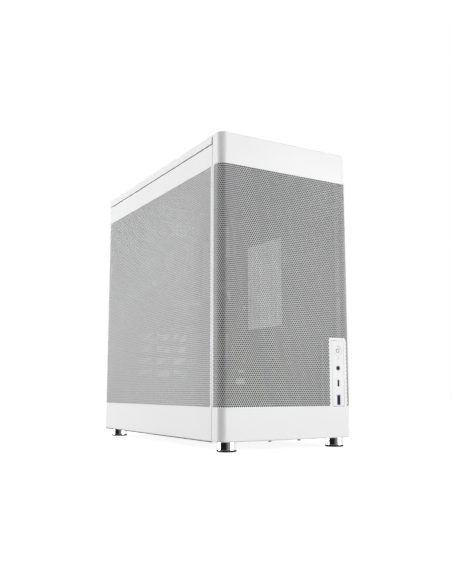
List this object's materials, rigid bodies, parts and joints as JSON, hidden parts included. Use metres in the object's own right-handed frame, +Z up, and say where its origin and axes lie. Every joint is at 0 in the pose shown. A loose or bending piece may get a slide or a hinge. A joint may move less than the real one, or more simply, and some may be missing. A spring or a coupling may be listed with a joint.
{
  "type": "desktop computer tower",
  "caption": "Compact white micro-ATX desktop tower with perforated lift-off panels, round chromed feet and a front socket strip, complete inside.",
  "frame": {"origin": "bottom centre of the tower, on the surface that it stands on", "axes": "+Z up, front faces -Y, +X to the right seen from the front"},
  "size_m": [0.2, 0.378, 0.392],
  "materials": {
    "white_panel": "fine textured white powder coat",
    "dark_chassis": "dark grey powder coat",
    "white_plastic": "moulded satin white",
    "grey_plastic": "moulded satin grey",
    "black_plastic": "moulded satin black",
    "foot_chrome": "polished",
    "foot_rubber": "matt",
    "screw_steel": "plated",
    "socket_steel": "nickel plated",
    "blue_plastic": "moulded dark blue",
    "circuit_board": "black solder resist",
    "green_board": "green solder resist",
    "brass": "turned",
    "fin_aluminium": "bare pressed sheet",
    "drive_aluminium": "cast, fine blasted",
    "psu_steel": "black powder coat",
    "filter_nylon": "fine woven nylon mesh",
    "cable_sleeve": "braided black sleeve"
  },
  "bodies": {
    "chassis": {"chassis_floor": "dark_chassis", "chassis_front_frame": "dark_chassis", "chassis_rear_wall": "dark_chassis", "chassis_top_frame": "dark_chassis", "motherboard_tray": "dark_chassis", "snap_sockets": "grey_plastic", "foot_rings": "foot_chrome", "foot_pads": "foot_rubber", "foot_screws": "screw_steel", "frame_screws": "screw_steel", "io_strip": "white_plastic", "io_board": "green_board", "audio_jack": "black_plastic", "usb_c_port": "socket_steel", "usb_a_port": "socket_steel", "slot_covers": "dark_chassis", "slot_screws": "screw_steel", "motherboard": "circuit_board", "standoffs": "brass", "board_screws": "screw_steel", "io_shield": "socket_steel", "rear_sockets": "socket_steel", "processor": "socket_steel", "cooler_base": "fin_aluminium", "cooler_fins": "fin_aluminium", "cooler_fan_frame": "black_plastic", "board_slots": "grey_plastic", "memory_modules": "fin_aluminium", "board_heatsinks": "fin_aluminium", "storage_module": "green_board", "board_connectors": "black_plastic", "coin_cell": "socket_steel", "psu_case": "psu_steel", "psu_fan_frame": "black_plastic", "psu_guard": "socket_steel", "psu_inlet": "black_plastic", "rear_fan_frame": "black_plastic", "rear_screws": "screw_steel", "drive_cage": "dark_chassis", "hard_drive": "drive_aluminium", "drive_screws": "screw_steel", "power_cables": "cable_sleeve", "drive_cables": "cable_sleeve", "front_io_leads": "cable_sleeve"},
    "front_panel": {"front_panel": "white_panel", "front_studs": "grey_plastic"},
    "left_panel": {"left_panel": "white_panel", "left_studs": "grey_plastic"},
    "right_panel": {"right_panel": "white_panel", "right_studs": "grey_plastic"},
    "top_cover": {"top_cover": "white_panel", "top_studs": "grey_plastic"},
    "power_button": {"power_button": "white_plastic"},
    "reset_button": {"reset_button": "white_plastic"},
    "rear_fan_rotor": {"rear_fan_rotor": "black_plastic"},
    "cooler_fan_rotor": {"cooler_fan_rotor": "black_plastic"},
    "psu_fan_rotor": {"psu_fan_rotor": "black_plastic"},
    "psu_switch": {"psu_switch": "black_plastic"},
    "dust_filter": {"dust_filter": "black_plastic", "filter_mesh": "filter_nylon"}
  },
  "joints": [
    {"name": "front_panel_pull", "type": "slide", "parent": "chassis", "child": "front_panel", "axis": [0, -1, 0], "range_m": [0, 0.06]},
    {"name": "left_panel_pull", "type": "slide", "parent": "chassis", "child": "left_panel", "axis": [-1, 0, 0], "range_m": [0, 0.05]},
    {"name": "right_panel_pull", "type": "slide", "parent": "chassis", "child": "right_panel", "axis": [1, 0, 0], "range_m": [0, 0.05]},
    {"name": "top_cover_lift", "type": "slide", "parent": "chassis", "child": "top_cover", "axis": [0, 0, 1], "range_m": [0, 0.04]},
    {"name": "power_button_press", "type": "slide", "parent": "chassis", "child": "power_button", "axis": [0, 1, 0], "range_m": [0, 0.0012], "stiffness_N_per_m": 900, "springref_m": -0.0004},
    {"name": "reset_button_press", "type": "slide", "parent": "chassis", "child": "reset_button", "axis": [0, 1, 0], "range_m": [0, 0.0008], "stiffness_N_per_m": 900, "springref_m": -0.0004},
    {"name": "rear_fan_spin", "type": "hinge", "parent": "chassis", "child": "rear_fan_rotor", "pos_m": [-0.046, 0.168, 0.286], "axis": [0, 1, 0], "continuous": true},
    {"name": "cooler_fan_spin", "type": "hinge", "parent": "chassis", "child": "cooler_fan_rotor", "pos_m": [0, 0.104, 0.262], "axis": [1, 0, 0], "continuous": true},
    {"name": "psu_fan_spin", "type": "hinge", "parent": "chassis", "child": "psu_fan_rotor", "pos_m": [-0.0035, 0.115, 0.022], "axis": [0, 0, 1], "continuous": true},
    {"name": "psu_switch_rock", "type": "hinge", "parent": "chassis", "child": "psu_switch", "pos_m": [0.009, 0.178, 0.0452], "axis": [1, 0, 0], "range_deg": [-22, 0]},
    {"name": "dust_filter_slide", "type": "slide", "parent": "chassis", "child": "dust_filter", "axis": [0, 1, 0], "range_m": [0, 0.135]}
  ]
}
